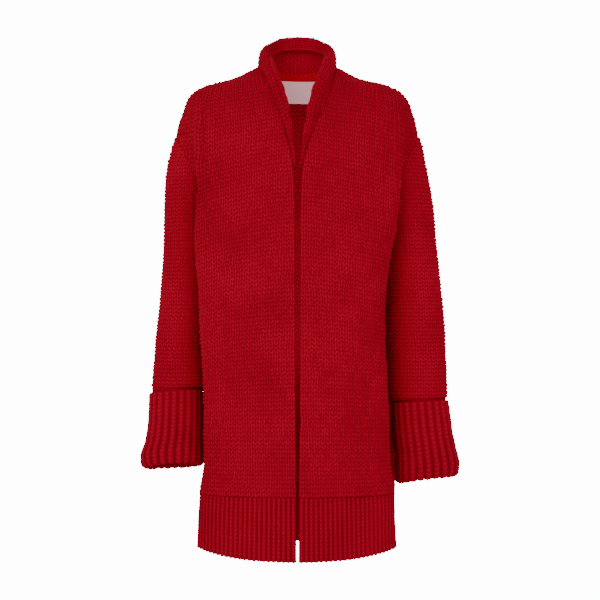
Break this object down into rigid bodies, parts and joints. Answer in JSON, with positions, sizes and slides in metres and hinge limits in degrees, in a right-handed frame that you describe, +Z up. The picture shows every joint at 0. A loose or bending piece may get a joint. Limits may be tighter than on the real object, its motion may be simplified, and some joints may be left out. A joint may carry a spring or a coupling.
{
  "type": "knit shawl coat",
  "caption": "Open-front, thigh-length shawl coat in super-chunky stocking stitch, with a standing shawl collar, drop shoulders, deep turned-back rib cuffs and a deep rib hem, hollow as worn.",
  "frame": {"origin": "midway between the two points where the collar meets the shoulder seams, at their height: where the coat rests on its wearer's shoulders beside the neck", "axes": "+Z up, -Y towards the open front, +X towards the wearer's left"},
  "size_m": [0.5435, 0.2817, 0.8931],
  "materials": {
    "chunky_knit": "super-chunky wool stocking stitch, matt with a soft fuzz",
    "chunky_rib": "super-chunky wool single rib, matt with a soft fuzz",
    "woven_tape": "close woven tape with a slight sheen",
    "satin_label": "woven satin, blank"
  },
  "bodies": {
    "root": {"front_left": "chunky_knit", "front_right": "chunky_knit", "back": "chunky_knit", "collar": "chunky_knit", "sleeve_left": "chunky_knit", "sleeve_right": "chunky_knit", "hem_rib_front_left": "chunky_rib", "hem_rib_front_right": "chunky_rib", "hem_rib_back": "chunky_rib", "cuff_left": "chunky_rib", "cuff_right": "chunky_rib", "neck_tape": "woven_tape", "label": "satin_label"}
  },
  "joints": []
}
